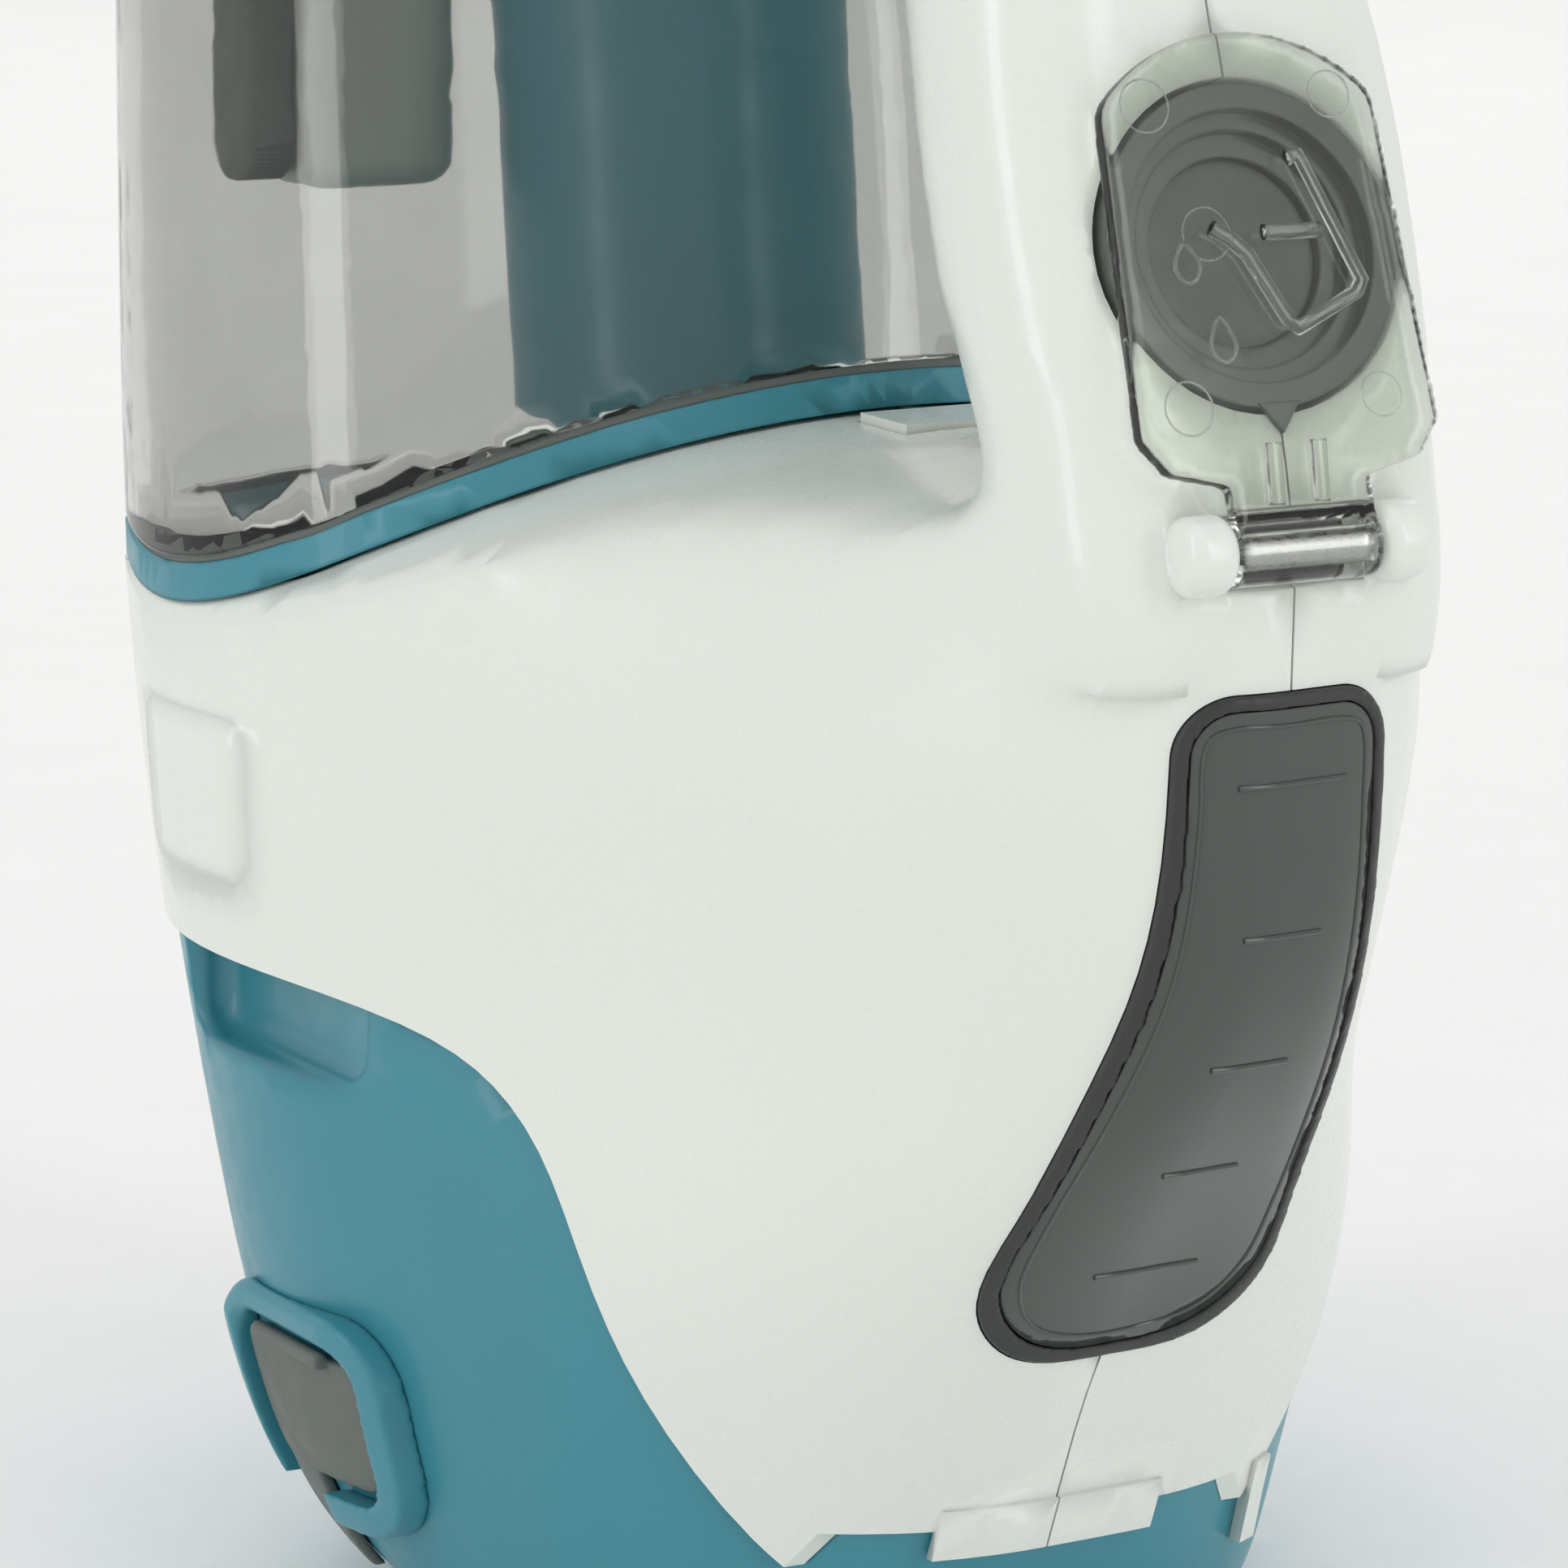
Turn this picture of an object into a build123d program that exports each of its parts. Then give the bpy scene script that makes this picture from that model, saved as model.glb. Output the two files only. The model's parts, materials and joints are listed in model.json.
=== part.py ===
from build123d import *
import os
from math import cos, radians, sin, tan

os.makedirs("parts", exist_ok=True)

# A cordless wet handheld vacuum that stands upright on its foot, nozzle up.
# Millimetres. +Z up, -Y is the front (tank side), +Y is the back (handle side).
# The origin is the middle of the foot's flat underside.

# ---------------------------------------------------------------- driving dimensions
WALL = 2.4            # moulded wall of the body, base and handle
PROUD = 1.0           # how far the white skirt stands outside the base
SEAM = 0.12           # half of the visible line between the two shell halves
RUN = 0.05            # radial clearance of a running fit

# Body cross-sections: height, front y, back y, half width, y of the widest point, half width of the
# back nose, depth of the nose's shoulder, outward swell of the flank near the handle and near the front.
BODY_LEVELS = [
    (0.0, -33, 45, 39.0, 4, 31.0, 10.5, 0.05, 0.06),
    (10.0, -44, 50, 47.5, 1, 33.0, 11.0, 0.07, 0.06),
    (24.0, -50, 56.4, 52.5, -2, 31.6, 11.0, 0.08, 0.06),
    (50.0, -57, 73.3, 56.5, -7, 26.0, 11.4, 0.06, 0.06),
    (80.0, -63, 92.7, 58.9, -13, 17.8, 10.3, 0.03, 0.04),
    (100.0, -66.5, 94.8, 59.2, -18, 18.5, 8.5, 0.025, 0.045),
    (112.0, -68.5, 95.3, 59.0, -20, 17.8, 9.0, 0.0, 0.04),
    (124.0, -69.5, 92.5, 58.2, -22, 17.5, 9.0, -0.01, 0.03),
]

# The joint between tank and body rises from front to back and is arched from side to side.
RIM_SIDE = [(-90, 97.0), (2.5, 103.4), (32, 134.0)]                                     # (y, z)
RIM_SIDE_BEND = 16
RIM_ARCH = [(0, 119.7), (18, 118.1), (36, 112.9), (47, 107.4), (56, 101.0), (68, 88)]   # (x, z)
RIM_BAND = 3.3
GASKET = 0.9

# Dirty-water tank: height, front y, back y, half width.
TANK_LEVELS = [(94, -66.0, 29.5, 58.3), (125, -68.6, 25.2, 57.5), (160, -70.5, 19.8, 56.0),
               (205, -73.5, 13.0, 54.0), (252, -77.0, 7.0, 51.6)]
TANK_TOP = 252.0
TANK_WALL = 2.2

# Base outline on the side of the body, from the front to the tip of the skirt, then the skirt's edge.
SKIRT_CURVE = [(-90, 68.5), (-30, 66.6), (2, 65.8), (16, 64.0), (27.2, 60.0), (33.4, 54.0), (37.6, 46.0),
               (41.7, 34.0), (44.8, 22.0), (46.6, 14.6)]
SKIRT_TIP = (46.6, 14.6)
SKIRT_EDGE = [(49.2, 18.2), (90, 15.0)]

# Handle: centre y and z, forward lean in degrees, width, depth and corner radius of each section.
HANDLE = [
    (82.2, 104, 0, 40.5, 22.5, 10.5),
    (82.4, 117, 9, 41.5, 23.5, 10.5),
    (75.4, 138, 19.5, 43.6, 24.0, 10),
    (69.0, 156, 19.5, 43.0, 24.0, 10),
    (60.0, 180, 17, 37.5, 26.0, 11.5),
    (53.5, 206, 14, 35, 28.0, 12.5),
    (46.0, 232, 20, 36, 29.0, 12.5),
    (34.0, 255, 40, 41, 28.0, 12),
    (13.0, 271, 68, 50, 27.0, 12),
    (-12.0, 276, 86, 58, 27.0, 12),
]

# Head sections: height, front y, back y, width, corner radius.
HEAD_LEVELS = [
    (253.2, -78.2, 7.6, 104.6, 38),
    (268, -80, 8, 104.5, 36),
    (290, -83.5, -4, 104, 28),
    (315, -86.5, -24, 105, 18),
    (345, -88, -34, 107, 10),
    (376, -88, -40, 108, 8),
]
HEAD_BOTTOM = HEAD_LEVELS[0][0]
MOUTH_FRONT = (-90, 333)       # the nozzle's mouth plane, as y and z at two places
MOUTH_BACK = (-30, 367)

# Fill cap and its flip cover, on the sloping back of the handle.
PORT_POINT = (0, 86.0, 142.0)
PORT_LEAN = 19.5
CAP_R = 14.6
NECK_R = 9.4

# Charging port on the +X side.
PORT_Y = (-16.5, 14.0)
PORT_Z = (10.5, 33.0)
GUARD_OUT = 54.6

# Inside
DUCT_R = 17.5
DUCT_FOOT = (0, -19.0, 108.0)
DUCT_TILT = 7.0
MOTOR_Y = -16.0
BRUSH_POS = (-57.0, 338.6)
BRUSH_R = 14.0


# ---------------------------------------------------------------- helpers
def body_half(level, inset):
    """Half outline of a body section, from the back to the front, moved inwards by inset."""
    z, front, back, half, wide, nose, shoulder, swell_back, swell_front = level
    b = Vector(nose, back - shoulder)
    d = Vector(half, wide)
    run = d - b
    out = Vector(-run.Y, run.X).normalized()
    flank_back = b + run * 0.33 + out * (run.length * swell_back)
    flank_front = b + run * 0.67 + out * (run.length * swell_front)
    corner = Vector(half * 0.715, wide - (wide - front) * 0.715)
    raw = [Vector(0, back), Vector(nose * 0.55, back - shoulder * 0.2), b, flank_back, flank_front, d,
           corner, Vector(0, front)]
    moved = []
    for i, p in enumerate(raw):
        before = raw[i - 1] if i else Vector(-raw[1].X, raw[1].Y)
        after = raw[i + 1] if i < len(raw) - 1 else Vector(-raw[i - 1].X, raw[i - 1].Y)
        tangent = (after - before).normalized()
        moved.append(p + Vector(tangent.Y, -tangent.X) * inset)
    return moved


def body_loft(inset, bottom=None):
    """Solid body shape, moved inwards by inset, with its lowest section raised to bottom."""
    with BuildPart() as solid:
        for level in BODY_LEVELS:
            z = level[0]
            if bottom is not None and z == 0:
                z = bottom
            half = body_half(level, inset)
            points = half + [Vector(-p.X, p.Y) for p in reversed(half[1:-1])]
            with BuildSketch(Plane.XY.offset(z)):
                with BuildLine():
                    Spline(*points, periodic=True)
                make_face()
        loft()
    return solid.part


def tank_loft(inset):
    """Tank shape made of ellipses that narrow and lean forward with height."""
    with BuildPart() as solid:
        for z, front, back, half in TANK_LEVELS:
            with BuildSketch(Plane.XY.offset(z)):
                with Locations((0, (front + back) / 2)):
                    Ellipse(half - inset, (back - front) / 2 - inset)
        loft()
    return solid.part


def above_joint(lift):
    """Everything above the joint between tank and body, raised by lift."""
    top = 420
    side = [(y, z + lift) for y, z in RIM_SIDE]
    right = [(x, z + lift) for x, z in RIM_ARCH]
    arch = [(-x, z) for x, z in reversed(right[1:])] + right
    with BuildPart() as region:
        with BuildSketch(Plane.YZ.offset(-90)):
            with BuildLine():
                FilletPolyline(*side, radius=RIM_SIDE_BEND)
                Polyline(side[-1], (side[-1][0], top), (side[0][0], top), side[0])
            make_face()
        extrude(amount=180)
        with BuildSketch(Plane.XZ.offset(-120)):
            with BuildLine():
                Spline(*arch)
                Polyline(arch[-1], (arch[-1][0], top), (arch[0][0], top), arch[0])
            make_face()
        extrude(amount=240)
    return region.part


def base_region():
    """Side outline of the base, extruded right across the body."""
    with BuildPart() as region:
        with BuildSketch(Plane.YZ.offset(-90)):
            with BuildLine():
                Spline(*SKIRT_CURVE)
                Polyline(SKIRT_TIP, *SKIRT_EDGE, (90, -5), (-90, -5), SKIRT_CURVE[0])
            make_face()
        extrude(amount=180)
    return region.part


def handle_plane(y, z, lean):
    """Plane across the handle at a point of its centre line."""
    return Plane(origin=(0, y, z), x_dir=(1, 0, 0), z_dir=(0, -sin(radians(lean)), cos(radians(lean))))


def handle_loft(inset):
    """Handle from inside the body to inside the head."""
    with BuildPart() as solid:
        for y, z, lean, width, depth, corner in HANDLE:
            with BuildSketch(handle_plane(y, z, lean)):
                RectangleRounded(width - 2 * inset, depth - 2 * inset, corner - inset)
        loft()
    return solid.part


def head_loft(inset, bottom_lift=0.0):
    """Head shape, moved inwards by inset, with its lowest section raised."""
    with BuildPart() as solid:
        for i, (z, front, back, width, corner) in enumerate(HEAD_LEVELS):
            with BuildSketch(Plane.XY.offset(z + (bottom_lift if i == 0 else 0))):
                with Locations((0, (front + back) / 2)):
                    RectangleRounded(width - 2 * inset, back - front - 2 * inset, corner - inset)
        loft()
    return solid.part


def prism_x(points, x_low, x_high, corner=0):
    """Side outline of straight lines in the YZ plane, extruded along X."""
    with BuildPart() as solid:
        with BuildSketch(Plane.YZ.offset(x_low)) as outline:
            with BuildLine():
                Polyline(*points, close=True)
            make_face()
            if corner:
                fillet(outline.vertices(), radius=corner)
        extrude(amount=x_high - x_low)
    return solid.part


def block(x, y, z):
    """Box between two limits on each axis."""
    with BuildPart() as solid:
        with Locations(((x[0] + x[1]) / 2, (y[0] + y[1]) / 2, (z[0] + z[1]) / 2)):
            Box(x[1] - x[0], y[1] - y[0], z[1] - z[0])
    return solid.part


def rod(plane, radius, length, inner=0.0):
    """Cylinder or tube that starts at a plane and runs along its normal."""
    with BuildPart() as solid:
        with BuildSketch(plane):
            Circle(radius)
            if inner:
                Circle(inner, mode=Mode.SUBTRACT)
        extrude(amount=length)
    return solid.part


def save(part, name):
    """Label a finished piece and write its file."""
    part.label = name
    export_step(part, f"parts/{name}.step")
    print(name, round(part.volume), len(part.solids()))


LEAN_Y = cos(radians(PORT_LEAN))
LEAN_Z = sin(radians(PORT_LEAN))
PORT_NORMAL = (0, LEAN_Y, LEAN_Z)
PORT_PLANE = Plane(origin=PORT_POINT, x_dir=(-1, 0, 0), z_dir=PORT_NORMAL)
MOUTH_SLOPE = (MOUTH_BACK[1] - MOUTH_FRONT[1]) / (MOUTH_BACK[0] - MOUTH_FRONT[0])

# ---------------------------------------------------------------- shared solids
joint_cut = above_joint(0)
base_zone = base_region()
body_outer = body_loft(0)
body_inner = body_loft(WALL, WALL)
base_outer = body_loft(PROUD)
handle_outer = handle_loft(0)
handle_inner = handle_loft(WALL)
head_outer = head_loft(0)
head_inner = head_loft(WALL, WALL)
mouth_cut = prism_x(
    [(-140, MOUTH_FRONT[1] - 50 * MOUTH_SLOPE), (0, MOUTH_BACK[1] + 30 * MOUTH_SLOPE), (0, 460), (-140, 460)],
    -90, 90)

# ---------------------------------------------------------------- white shell: body, handle and head
CAP_WELL_R = CAP_R + 0.6
CAP_WELL_DEPTH = 9.5
CUP_R = 11.8                    # neck cup below the cap's well
CUP_DEPTH = 18.5
HINGE_V = -27.0                 # hinge axis of the flip cover, down the slope from the cap's centre
HINGE_W = 0.8                   # and out from the handle's back
hinge_origin = PORT_PLANE.from_local_coords((0, HINGE_V, HINGE_W))
hinge_plane = Plane(origin=hinge_origin, x_dir=(0, 1, 0), z_dir=(1, 0, 0))
BARREL_R = 3.1
BARREL_HALF = 7.1
LUG_LEN = 5.1
PIN_R = 1.1

WINDOW = [(9.4, 102.4), (9.5, 92), (10.2, 78), (11.8, 64), (13.2, 52), (13.4, 44), (8.8, 38.8), (0, 37.4)]


def window_prism(grow):
    """Outline of the level window, grown evenly, as a prism through the back of the body."""
    right = [(x + (grow if x else 0), z + (grow if i == 0 else 0) - (grow if i > 4 else 0))
             for i, (x, z) in enumerate(WINDOW)]
    left = [(-x, z) for x, z in reversed(right[:-1])]
    with BuildPart() as prism:
        with BuildSketch(Plane.XZ.offset(-45)) as outline:
            with BuildLine():
                Spline(*(right + left))
                Line(left[-1], right[0])
            make_face()
            fillet(outline.vertices().sort_by(Axis.Y)[-2:], radius=4 + grow)
        extrude(amount=-60)
    return prism.part


SCREWS = [(-46, 84), (34, 93), (64, 183), (-8, 282), (-37, 317)]      # (y, z)
SCREW_HEAD_X = -13.0
BOSS_R = 3.8

shell_outer = (body_outer - joint_cut) + handle_outer + (head_outer - mouth_cut)
shell_inner = (body_inner - above_joint(-WALL)) + handle_inner + head_inner

NOZZLE_LINE = [(-66, 240), (-66, 296), (-72, 318), (-75.5, 400), (-140, 400), (-140, 240)]
nozzle_zone = prism_x(NOZZLE_LINE, -90, 90)

cap_well = rod(PORT_PLANE.offset(-CAP_WELL_DEPTH - 2), CAP_WELL_R + 1.8, CAP_WELL_DEPTH + 2) & handle_outer
cap_bore = rod(PORT_PLANE.offset(-CAP_WELL_DEPTH), CAP_WELL_R, 20)
cap_bore = cap_bore + rod(PORT_PLANE.offset(-15), CUP_R + 0.2, 10)
cap_well_floor = cap_well - cap_bore

with BuildPart() as hinge_lugs:
    for side in (-1, 1):
        start = side * (BARREL_HALF + 0.3) if side > 0 else -(BARREL_HALF + 0.3) - LUG_LEN
        with BuildSketch(hinge_plane.offset(start)):
            Circle(BARREL_R + 0.5)
        extrude(amount=LUG_LEN)
    fillet(hinge_lugs.edges().filter_by(GeomType.CIRCLE), radius=1.6)

barrel_pocket = rod(hinge_plane.offset(-BARREL_HALF - 0.3), BARREL_R + 0.6, 2 * BARREL_HALF + 0.6)
pin_hole = rod(hinge_plane.offset(-BARREL_HALF - 4.2), PIN_R, 2 * BARREL_HALF + 8.4)

# Raised band and small tab on the lower back edge of the skirt.
skirt_band = (body_loft(-0.6) - body_loft(0.5)) & block((-12, 12), (40, 70), (14.8, 20.2))
skirt_tab = (body_loft(-0.7) - body_loft(PROUD)) & block((-28.5, -26.0), (20, 60), (9.5, 18.5))
badge_zone = prism_x([(-21.5, 74), (-1, 74), (-1, 90), (-21.5, 90)], 40, 80, 3)
badge = (body_loft(-0.5) - body_loft(0.5)) & badge_zone

# Trigger on the inner side of the grip and power button on its back.
TRIGGER_AT = handle_plane(56.0, 197.0, 15.0)
TRIGGER_HALF = (7.5, 17.0)
BUTTON_AT = handle_plane(47.5, 228.0, 18.5)


def handle_face(plane, side, out):
    """Plane on the handle's front (side -1) or back (side +1), its normal pointing out of the handle."""
    normal = plane.y_dir * side
    return Plane(origin=plane.origin + normal * out, x_dir=(1, 0, 0), z_dir=normal)


def rounded_peg(plane, width, length, height, corner, edge=0.0):
    """Rounded rectangle raised from a plane, with softened top edges."""
    with BuildPart() as peg:
        with BuildSketch(plane):
            RectangleRounded(width, length, corner)
        extrude(amount=height)
        if edge:
            top = plane.offset(height).location.position
            rim = peg.edges().filter_by(lambda e: abs((e.center() - top).dot(plane.z_dir)) < 1e-3)
            fillet(rim, radius=edge)
    return peg.part


trigger_slot = rounded_peg(
    handle_face(TRIGGER_AT, -1, 4), 2 * TRIGGER_HALF[0] + 0.8, 2 * TRIGGER_HALF[1] + 0.8, 20, 4.4)
button_slot = rounded_peg(handle_face(BUTTON_AT, 1, 6), 13.8, 21.8, 20, 6.8)
light_slot = rounded_peg(handle_face(handle_plane(54.2, 207.0, 14.5), 1, 8), 5.4, 9.4, 20, 2.6)
CATCH_Y = (28.5, 37.5)
catch_slot = block((-7.4, 7.4), (CATCH_Y[0] - 0.4, CATCH_Y[1] + 0.4), (108, 130))
inlet_hole = rod(Plane.XY.offset(90), 14.0, 20)
inlet_hole = inlet_hole.moved(Location((0, DUCT_FOOT[1], 0)))
head_outlet = rod(Plane(origin=(0, -56, 250)), 10.5, 10)

bosses = Part() + [
    rod(Plane(origin=(-70, y, z), x_dir=(0, 1, 0), z_dir=(1, 0, 0)), BOSS_R, 140) for y, z in SCREWS]
bosses = bosses & shell_outer
screw_holes = Part() + [
    rod(Plane(origin=(-70, y, z), x_dir=(0, 1, 0), z_dir=(1, 0, 0)), 2.7, 70 + SCREW_HEAD_X)
    + rod(Plane(origin=(SCREW_HEAD_X, y, z), x_dir=(0, 1, 0), z_dir=(1, 0, 0)), 1.5, -SCREW_HEAD_X + 9)
    for y, z in SCREWS]

shell = (shell_outer - shell_inner) + cap_well + (bosses - base_zone) + hinge_lugs.part
shell = shell - base_zone - nozzle_zone - cap_bore - barrel_pocket - pin_hole - window_prism(1.6)
shell = shell + (skirt_band - window_prism(2)) + skirt_tab + badge
shell = shell - trigger_slot - button_slot - light_slot - catch_slot - inlet_hole - head_outlet - screw_holes

for side, name in ((1, "shell_left"), (-1, "shell_right")):
    half = shell & block((SEAM, 90) if side > 0 else (-90, -SEAM), (-120, 120), (-5, 400))
    save(half, name)

# ---------------------------------------------------------------- base tub, foot pads, charging port
guard_centre = ((PORT_Y[0] + PORT_Y[1]) / 2, (PORT_Z[0] + PORT_Z[1]) / 2)
guard_size = (PORT_Y[1] - PORT_Y[0], PORT_Z[1] - PORT_Z[0])
GUARD_BAR = 3.2


def port_outline(x, grow, length, shift=0.0):
    """Rounded outline of the charging port, extruded along +X from x."""
    with BuildPart() as solid:
        with BuildSketch(Plane.YZ.offset(x)):
            with Locations((guard_centre[0] + shift, guard_centre[1])):
                RectangleRounded(guard_size[0] + 2 * grow, guard_size[1] + 2 * grow, 7 + grow)
        extrude(amount=length)
    return solid.part


with BuildPart() as scoop:
    with Locations((59.0, -2.5, 62.5)):
        Box(16, 33, 12.5)
    fillet(scoop.edges().filter_by(Axis.X), radius=4)
    fillet(scoop.faces().sort_by(Axis.X)[0].edges(), radius=2.5)
scoops = scoop.part + mirror(scoop.part, Plane.YZ)
scoop_backings = block((47.3, 70), (-23.4, 18.3), (51.3, 68.2))
scoop_backings = scoop_backings + block((-70, -47.3), (-23.4, 18.3), (51.3, 68.2))
scoop_backings = scoop_backings & base_outer

FOOT_PADS = [(-18, -19), (18, -19), (-20, 30), (20, 30)]
pad_pockets = Part() + [rod(Plane(origin=(x, y, 0)), 5.6, 1.4) for x, y in FOOT_PADS]
BASE_SCREWS = [(-28, -4), (28, -4), (0, 32)]
base_bosses = Part() + [rod(Plane(origin=(x, y, 0)), 3.6, 9) for x, y in BASE_SCREWS]
base_screw_holes = Part() + [
    rod(Plane(origin=(x, y, 0)), 3.0, 3.5) + rod(Plane(origin=(x, y, 0)), 1.55, 9) for x, y in BASE_SCREWS]
PAD_FLOOR = 3.0
pad_floor = block((-60, 60), (-60, 60), (0, PAD_FLOOR)) & base_outer
socket_hole = rod(Plane(origin=(36, -4, 22), x_dir=(0, 1, 0), z_dir=(1, 0, 0)), 5.2, 25)

base = ((base_outer - body_inner) & base_zone) + pad_floor + base_bosses + (scoop_backings & base_zone)
base = base - scoops - pad_pockets - base_screw_holes - socket_hole
save(base, "base_tub")

foot_pads = Part() + [rod(Plane(origin=(x, y, 0)), 5.5, 1.4) for x, y in FOOT_PADS]
save(foot_pads, "foot_pads")

with BuildPart() as guard:
    with BuildSketch(Plane.YZ.offset(40)):
        with Locations(guard_centre):
            RectangleRounded(*guard_size, 7)
            RectangleRounded(guard_size[0] - 2 * GUARD_BAR, guard_size[1] - 2 * GUARD_BAR, 7 - GUARD_BAR,
                             mode=Mode.SUBTRACT)
        with Locations((PORT_Y[0] + GUARD_BAR + 6.9, PORT_Z[0])):
            Rectangle(13.8, 14, mode=Mode.SUBTRACT)
    extrude(amount=GUARD_OUT - 40)
    chamfer(guard.faces().sort_by(Axis.X)[-1].edges(), length=0.8)
save((guard.part & body_loft(-2.2)) - base_outer, "port_guard")

COVER_HINGE = (53.6, 28.3)        # x and z of the port cover's hinge line
cover_plate = port_outline(40, -GUARD_BAR - 1.3, 20) - block((30, 70), (-40, 40), (COVER_HINGE[1], 60))
pull_tab = rounded_peg(Plane(origin=(40, -6.0, 10.2), x_dir=(0, 1, 0), z_dir=(1, 0, 0)), 8.0, 13.0, 20, 3.5)
port_cover = (cover_plate + pull_tab) & (body_loft(PROUD - 1.6) - body_loft(PROUD - 0.2))
knuckle_start = Plane(origin=(COVER_HINGE[0], -9.0, COVER_HINGE[1]), x_dir=(1, 0, 0), z_dir=(0, 1, 0))
knuckle = rod(knuckle_start, 0.9, 15.0)
save(port_cover + knuckle, "charge_port_cover")

charge_socket = rod(Plane(origin=(33, -4, 22), x_dir=(0, 1, 0), z_dir=(1, 0, 0)), 5.1, 12.0, 2.8)
charge_socket = charge_socket + rod(Plane(origin=(31, -4, 22), x_dir=(0, 1, 0), z_dir=(1, 0, 0)), 5.1, 2.0)
save(charge_socket, "charge_socket")

# ---------------------------------------------------------------- fasteners
shell_screws = Part() + [
    rod(Plane(origin=(SCREW_HEAD_X - 2.2, y, z), x_dir=(0, 1, 0), z_dir=(1, 0, 0)), 2.6, 2.2)
    + rod(Plane(origin=(SCREW_HEAD_X, y, z), x_dir=(0, 1, 0), z_dir=(1, 0, 0)), 1.45, -SCREW_HEAD_X + 8)
    for y, z in SCREWS]
save(shell_screws, "shell_screws")
base_screws = Part() + [
    rod(Plane(origin=(x, y, 1.2)), 2.8, 2.2) + rod(Plane(origin=(x, y, 3.4)), 1.5, 5.4)
    for x, y in BASE_SCREWS]
save(base_screws, "base_screws")

# ---------------------------------------------------------------- dirty-water tank
JOINT_GAP = 0.5
tank_solid = tank_loft(0) & block((-70, 70), (-90, 40), (90, TANK_TOP))
band_top = above_joint(JOINT_GAP + RIM_BAND)
gasket_top = above_joint(JOINT_GAP + RIM_BAND + GASKET)
duct_normal = (0, -sin(radians(DUCT_TILT)), cos(radians(DUCT_TILT)))
duct_axis = Plane(origin=DUCT_FOOT, x_dir=(1, 0, 0), z_dir=duct_normal)
DUCT_LEN = 116.0

with BuildPart() as duct:
    with BuildSketch(duct_axis.offset(-10)):
        Circle(DUCT_R)
    extrude(amount=DUCT_LEN + 10)
    with BuildSketch(duct_axis.offset(-8)):
        Circle(DUCT_R + 4.5)
    with BuildSketch(duct_axis.offset(4)):
        Circle(DUCT_R)
    loft()
    with BuildSketch(duct_axis.offset(-20)):
        Circle(DUCT_R - 1.8)
    extrude(amount=DUCT_LEN + 40, mode=Mode.SUBTRACT)

tray = (tank_solid & above_joint(JOINT_GAP)) - band_top
tray_hollow = (tank_loft(3.2) & above_joint(JOINT_GAP + 2.0)) - gasket_top
duct_bore = rod(duct_axis.offset(-20), DUCT_R - 1.8, 60)
rim_pad_zone = block((0.2, 6.6), (20, 29), (110, 130))
rim_pad = (tank_loft(-0.5) & above_joint(JOINT_GAP + 0.3) & rim_pad_zone) - band_top
tank_rim = (tray - tray_hollow - duct_bore) + (duct.part & above_joint(JOINT_GAP)) + rim_pad
save(tank_rim, "tank_rim")

gasket = ((tank_loft(0.35) - tank_loft(3.0)) & band_top) - gasket_top
save(gasket, "tank_gasket")

INLET_Y = -56.0
inlet_spigot = rod(Plane(origin=(0, INLET_Y, TANK_TOP - 14)), 12.4, 14, 10.2)
tank_roof_hole = rod(Plane(origin=(0, INLET_Y, TANK_TOP - 5)), 10.2, 10)
tank_hollow = tank_loft(TANK_WALL) & block((-70, 70), (-90, 40), (80, TANK_TOP - TANK_WALL))
tank_shell = ((tank_solid & gasket_top) - tank_hollow - tank_roof_hole) + inlet_spigot
save(tank_shell, "tank_shell")

inlet_seal = rod(Plane(origin=(0, INLET_Y, TANK_TOP)), 13.0, HEAD_BOTTOM - TANK_TOP - 0.3, 10.2)
save(inlet_seal, "inlet_seal")

# Separator box that slows the incoming water, with its flap and the float that shuts the duct.
BOX_Z = (136.0, 238.0)
with BuildPart() as separator:
    with Locations((27.5, -39.0, sum(BOX_Z) / 2)):
        Box(17.4, 14, BOX_Z[1] - BOX_Z[0])
    fillet(separator.edges().filter_by(Axis.Z), radius=4)
    fillet(separator.faces().sort_by(Axis.Z)[0].edges(), radius=3)
    with Locations((27.5, -39.0, sum(BOX_Z) / 2 + 3)):
        Box(13.4, 10, BOX_Z[1] - BOX_Z[0], mode=Mode.SUBTRACT)
save(separator.part, "separator_box")

with BuildPart() as flap:
    with Locations((39.0, -39.0, 184.0)):
        Box(4.4, 10, 94.0)
    fillet(flap.edges().filter_by(Axis.X), radius=4)
save(flap.part, "separator_flap")

SEAT_T = 2.0
float_plane = duct_axis.offset(DUCT_LEN + SEAT_T + 0.1)
tank_float = rod(float_plane, DUCT_R - 3, 7)
save(tank_float, "float_valve")
float_cage = rod(duct_axis.offset(DUCT_LEN), DUCT_R, 14.0, DUCT_R - 1.8)
cage_slots = Part() + [
    block((-3, 3), (-80, 20), (200, 300)).rotate(Axis.Z, 60 * i).moved(Location((0, -33, 0)))
    for i in range(3)]
cage_window = rod(duct_axis.offset(DUCT_LEN + 3), DUCT_R + 4, 8)
float_cage = float_cage - (cage_slots & cage_window)
float_cage = float_cage + rod(duct_axis.offset(DUCT_LEN), DUCT_R, SEAT_T, DUCT_R - 5)
save(float_cage, "float_cage")

# ---------------------------------------------------------------- clean-water tank, window, filler, cap
WATER_WALL = 1.8
# Water tank sections: height, front y, back y, width, corner radius.
WATER_LEVELS = [(22, 41.5, 51.0, 31, 4.7), (50, 41.5, 65.5, 35, 9), (80, 41.5, 80.8, 30, 10),
                (104.5, 41.5, 90, 31, 10)]


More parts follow.
